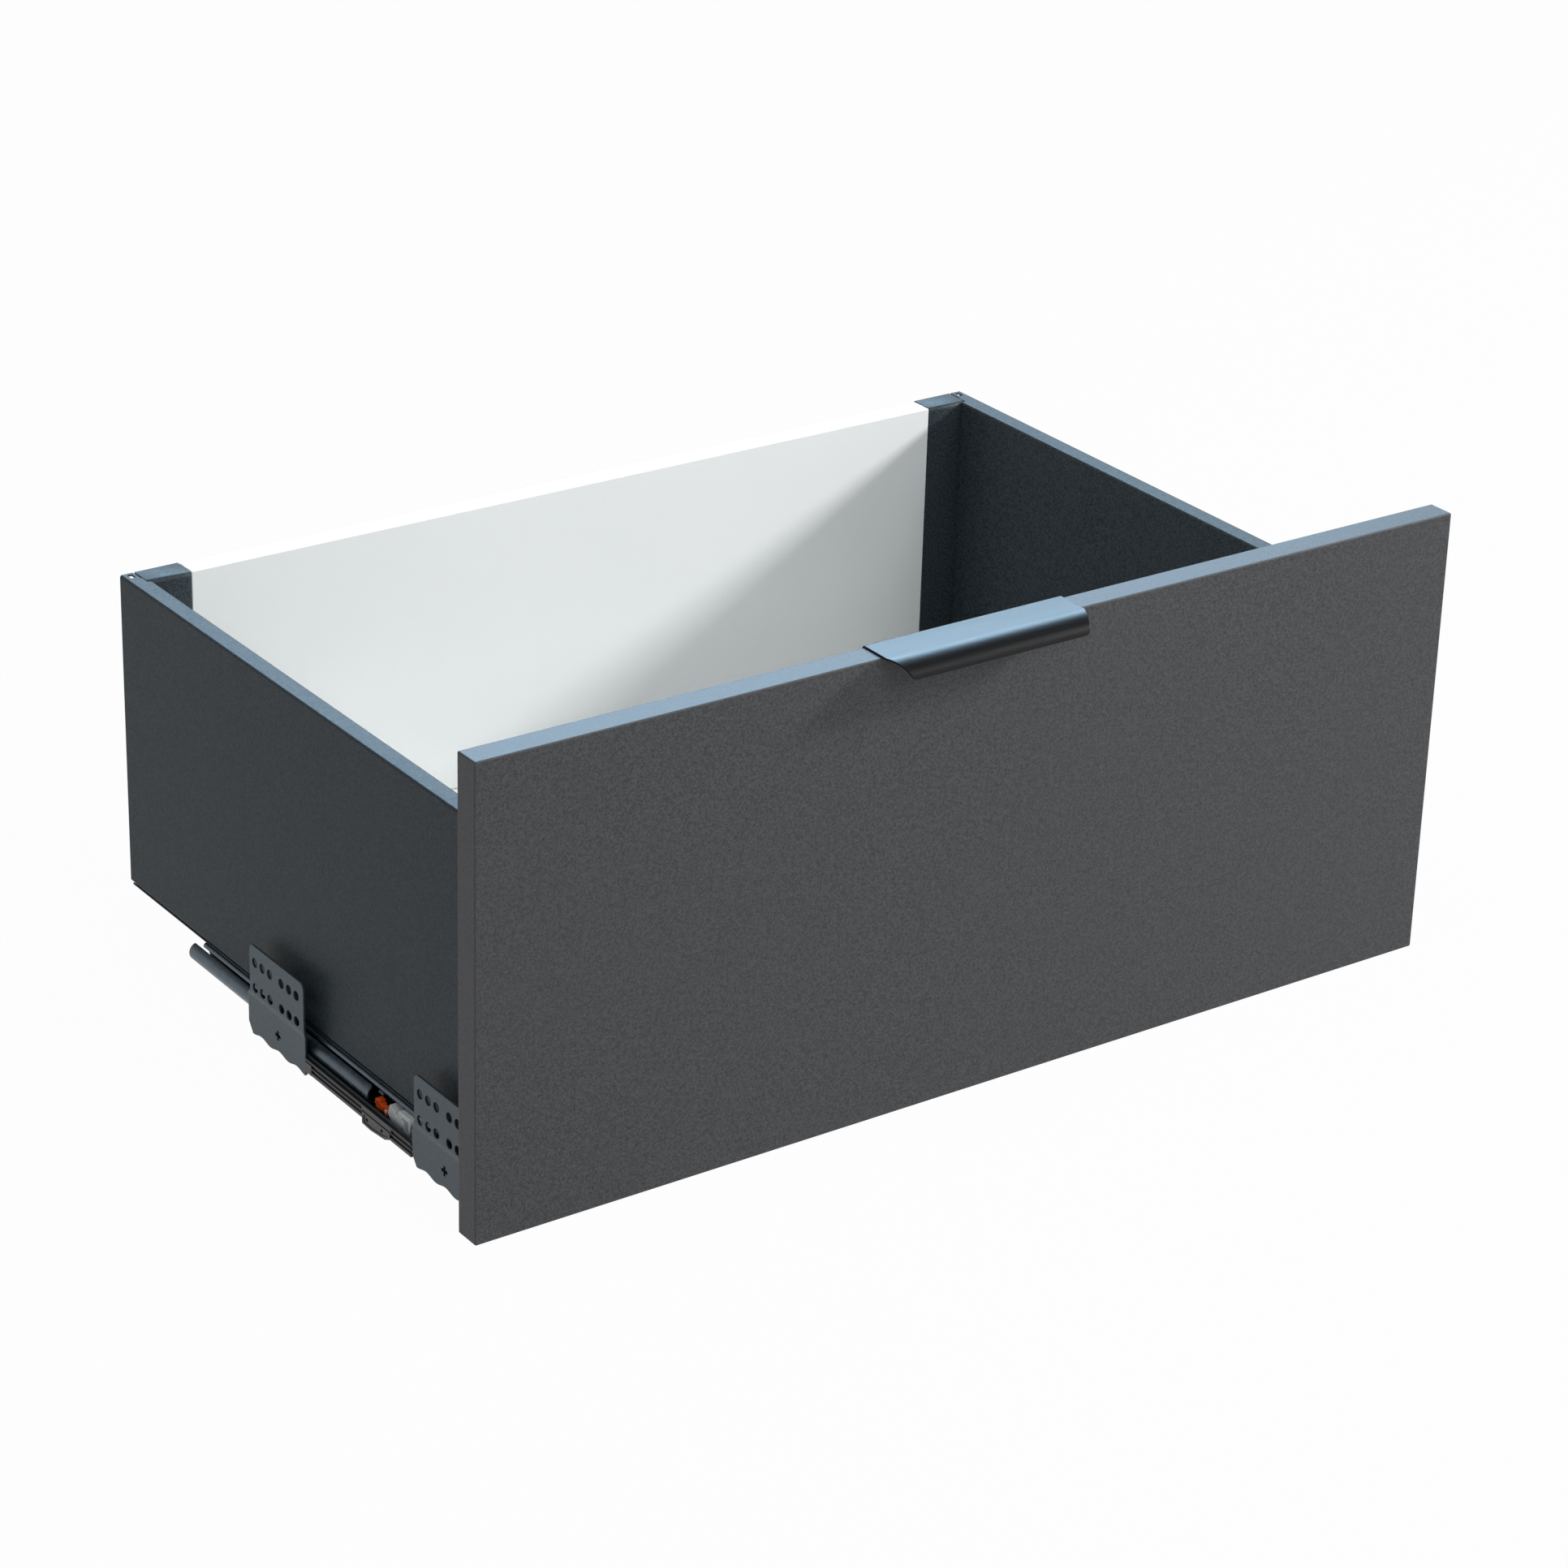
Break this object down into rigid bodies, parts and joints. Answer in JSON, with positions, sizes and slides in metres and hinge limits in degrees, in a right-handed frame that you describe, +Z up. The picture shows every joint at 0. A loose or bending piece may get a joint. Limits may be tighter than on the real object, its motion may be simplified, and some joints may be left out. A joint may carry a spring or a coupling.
{
  "type": "drawer on concealed slides",
  "caption": "Slim double-wall metal drawer with a board front and edge pull, on a pair of side-fixed concealed full-extension slides.",
  "frame": {"origin": "middle of the underside of the closed drawer, in the plane of the front board's lower edge", "axes": "+Z up, +X to the right seen from the front, the drawer opens along -Y"},
  "size_m": [0.697, 0.4798, 0.2973],
  "materials": {
    "front_board": "laminated board, fine pearl, satin",
    "side_paint": "powder coat, fine texture, satin",
    "white_board": "white melamine, satin",
    "pull_coat": "black anodised look, satin",
    "plate_coat": "grey electro-coat, satin",
    "zinc": "zinc plated",
    "black_plastic": "moulded",
    "orange_plastic": "moulded",
    "pale_plastic": "moulded"
  },
  "bodies": {
    "cabinet": {"left_front_wall_plate": "plate_coat", "left_rear_wall_plate": "plate_coat", "left_cabinet_rail": "plate_coat", "left_track": "black_plastic", "left_track_block": "black_plastic", "left_damper_cylinder": "black_plastic", "left_closing_spring": "zinc", "right_front_wall_plate": "plate_coat", "right_rear_wall_plate": "plate_coat", "right_cabinet_rail": "plate_coat", "right_track": "black_plastic", "right_track_block": "black_plastic", "right_damper_cylinder": "black_plastic", "right_closing_spring": "zinc"},
    "drawer": {"front_panel": "front_board", "edge_pull": "pull_coat", "pull_screw_1": "zinc", "pull_screw_2": "zinc", "back_panel": "white_board", "bottom_panel": "white_board", "left_side_profile": "side_paint", "left_rear_bracket": "side_paint", "left_back_screw": "zinc", "left_front_fixing": "zinc", "left_plug_cap": "side_paint", "left_drawer_rail": "zinc", "left_latch_body": "pale_plastic", "right_side_profile": "side_paint", "right_rear_bracket": "side_paint", "right_back_screw": "zinc", "right_front_fixing": "zinc", "right_plug_cap": "side_paint", "right_drawer_rail": "zinc", "right_latch_body": "pale_plastic"},
    "left_middle": {"left_middle_rail": "zinc"},
    "left_lower_cage_body": {"left_lower_cage": "black_plastic"},
    "left_lower_roller_1_body": {"left_lower_roller_1": "pale_plastic"},
    "left_lower_roller_2_body": {"left_lower_roller_2": "pale_plastic"},
    "left_upper_cage_body": {"left_upper_cage": "black_plastic"},
    "left_upper_roller_1_body": {"left_upper_roller_1": "pale_plastic"},
    "left_upper_roller_2_body": {"left_upper_roller_2": "pale_plastic"},
    "left_guide_roller_body": {"left_guide_roller": "black_plastic"},
    "left_lever": {"left_release_lever": "orange_plastic"},
    "left_cam": {"left_tilt_cam": "zinc"},
    "left_catch": {"left_closing_catch": "black_plastic", "left_damper_rod": "zinc"},
    "right_middle": {"right_middle_rail": "zinc"},
    "right_lower_cage_body": {"right_lower_cage": "black_plastic"},
    "right_lower_roller_1_body": {"right_lower_roller_1": "pale_plastic"},
    "right_lower_roller_2_body": {"right_lower_roller_2": "pale_plastic"},
    "right_upper_cage_body": {"right_upper_cage": "black_plastic"},
    "right_upper_roller_1_body": {"right_upper_roller_1": "pale_plastic"},
    "right_upper_roller_2_body": {"right_upper_roller_2": "pale_plastic"},
    "right_guide_roller_body": {"right_guide_roller": "black_plastic"},
    "right_lever": {"right_release_lever": "orange_plastic"},
    "right_cam": {"right_tilt_cam": "zinc"},
    "right_catch": {"right_closing_catch": "black_plastic", "right_damper_rod": "zinc"}
  },
  "joints": [
    {"name": "drawer_travel", "type": "slide", "parent": "cabinet", "child": "drawer", "axis": [0, -1, 0], "range_m": [0, 0.43]},
    {"name": "left_middle_travel", "type": "slide", "parent": "cabinet", "child": "left_middle", "axis": [0, -1, 0], "range_m": [0, 0.215]},
    {"name": "left_lower_cage_travel", "type": "slide", "parent": "cabinet", "child": "left_lower_cage_body", "axis": [0, -1, 0], "range_m": [0, 0.1075]},
    {"name": "left_lower_roller_1_spin", "type": "hinge", "parent": "left_lower_cage_body", "child": "left_lower_roller_1_body", "pos_m": [-0.3122, -0.0743, 0.0069], "axis": [1, 0, 0], "range_deg": [-1, 2464.7]},
    {"name": "left_lower_roller_2_spin", "type": "hinge", "parent": "left_lower_cage_body", "child": "left_lower_roller_2_body", "pos_m": [-0.3122, 0.0277, 0.0069], "axis": [1, 0, 0], "range_deg": [-1, 2464.7]},
    {"name": "left_upper_cage_travel", "type": "slide", "parent": "cabinet", "child": "left_upper_cage_body", "axis": [0, -1, 0], "range_m": [0, 0.3225]},
    {"name": "left_upper_roller_1_spin", "type": "hinge", "parent": "left_upper_cage_body", "child": "left_upper_roller_1_body", "pos_m": [-0.3122, -0.0623, 0.01367], "axis": [1, 0, 0], "range_deg": [-1, 2464.7]},
    {"name": "left_upper_roller_2_spin", "type": "hinge", "parent": "left_upper_cage_body", "child": "left_upper_roller_2_body", "pos_m": [-0.3122, 0.0127, 0.01367], "axis": [1, 0, 0], "range_deg": [-1, 2464.7]},
    {"name": "left_guide_roller_spin", "type": "hinge", "parent": "drawer", "child": "left_guide_roller_body", "pos_m": [-0.32335, -0.1163, 0.0142], "axis": [0, 0, 1], "range_deg": [-5730.6, 1]},
    {"name": "left_release", "type": "hinge", "parent": "drawer", "child": "left_lever", "pos_m": [-0.3225, -0.0818, 0.0132], "axis": [1, 0, 0], "range_deg": [-15, 0], "stiffness_Nm_per_rad": 0.02, "springref_deg": 14.32},
    {"name": "left_tilt_adjust", "type": "hinge", "parent": "drawer", "child": "left_cam", "pos_m": [-0.314, -0.1803, 0.096], "axis": [1, 0, 0], "range_deg": [-90, 90]},
    {"name": "left_catch_travel", "type": "slide", "parent": "cabinet", "child": "left_catch", "axis": [0, -1, 0], "range_m": [0, 0.04], "stiffness_N_per_m": 60, "springref_m": -0.03, "deforming": ["left_closing_spring"]},
    {"name": "right_middle_travel", "type": "slide", "parent": "cabinet", "child": "right_middle", "axis": [0, -1, 0], "range_m": [0, 0.215]},
    {"name": "right_lower_cage_travel", "type": "slide", "parent": "cabinet", "child": "right_lower_cage_body", "axis": [0, -1, 0], "range_m": [0, 0.1075]},
    {"name": "right_lower_roller_1_spin", "type": "hinge", "parent": "right_lower_cage_body", "child": "right_lower_roller_1_body", "pos_m": [0.3122, -0.0743, 0.0069], "axis": [1, 0, 0], "range_deg": [-1, 2464.7]},
    {"name": "right_lower_roller_2_spin", "type": "hinge", "parent": "right_lower_cage_body", "child": "right_lower_roller_2_body", "pos_m": [0.3122, 0.0277, 0.0069], "axis": [1, 0, 0], "range_deg": [-1, 2464.7]},
    {"name": "right_upper_cage_travel", "type": "slide", "parent": "cabinet", "child": "right_upper_cage_body", "axis": [0, -1, 0], "range_m": [0, 0.3225]},
    {"name": "right_upper_roller_1_spin", "type": "hinge", "parent": "right_upper_cage_body", "child": "right_upper_roller_1_body", "pos_m": [0.3122, -0.0623, 0.01367], "axis": [1, 0, 0], "range_deg": [-1, 2464.7]},
    {"name": "right_upper_roller_2_spin", "type": "hinge", "parent": "right_upper_cage_body", "child": "right_upper_roller_2_body", "pos_m": [0.3122, 0.0127, 0.01367], "axis": [1, 0, 0], "range_deg": [-1, 2464.7]},
    {"name": "right_guide_roller_spin", "type": "hinge", "parent": "drawer", "child": "right_guide_roller_body", "pos_m": [0.32335, -0.1163, 0.0142], "axis": [0, 0, 1], "range_deg": [-1, 5730.6]},
    {"name": "right_release", "type": "hinge", "parent": "drawer", "child": "right_lever", "pos_m": [0.3225, -0.0818, 0.0132], "axis": [1, 0, 0], "range_deg": [-15, 0], "stiffness_Nm_per_rad": 0.02, "springref_deg": 14.32},
    {"name": "right_tilt_adjust", "type": "hinge", "parent": "drawer", "child": "right_cam", "pos_m": [0.314, -0.1803, 0.096], "axis": [1, 0, 0], "range_deg": [-90, 90]},
    {"name": "right_catch_travel", "type": "slide", "parent": "cabinet", "child": "right_catch", "axis": [0, -1, 0], "range_m": [0, 0.04], "stiffness_N_per_m": 60, "springref_m": -0.03, "deforming": ["right_closing_spring"]}
  ],
  "couplings": [
    {"joint": "left_middle_travel", "follows": "drawer_travel", "ratio": 0.5},
    {"joint": "left_lower_cage_travel", "follows": "drawer_travel", "ratio": 0.25},
    {"joint": "left_lower_roller_1_spin", "follows": "drawer_travel", "rad_per_m": 100},
    {"joint": "left_lower_roller_2_spin", "follows": "drawer_travel", "rad_per_m": 100},
    {"joint": "left_upper_cage_travel", "follows": "drawer_travel", "ratio": 0.75},
    {"joint": "left_upper_roller_1_spin", "follows": "drawer_travel", "rad_per_m": 100},
    {"joint": "left_upper_roller_2_spin", "follows": "drawer_travel", "rad_per_m": 100},
    {"joint": "left_guide_roller_spin", "follows": "drawer_travel", "rad_per_m": -232.56},
    {"joint": "right_middle_travel", "follows": "drawer_travel", "ratio": 0.5},
    {"joint": "right_lower_cage_travel", "follows": "drawer_travel", "ratio": 0.25},
    {"joint": "right_lower_roller_1_spin", "follows": "drawer_travel", "rad_per_m": 100},
    {"joint": "right_lower_roller_2_spin", "follows": "drawer_travel", "rad_per_m": 100},
    {"joint": "right_upper_cage_travel", "follows": "drawer_travel", "ratio": 0.75},
    {"joint": "right_upper_roller_1_spin", "follows": "drawer_travel", "rad_per_m": 100},
    {"joint": "right_upper_roller_2_spin", "follows": "drawer_travel", "rad_per_m": 100},
    {"joint": "right_guide_roller_spin", "follows": "drawer_travel", "rad_per_m": 232.56}
  ]
}
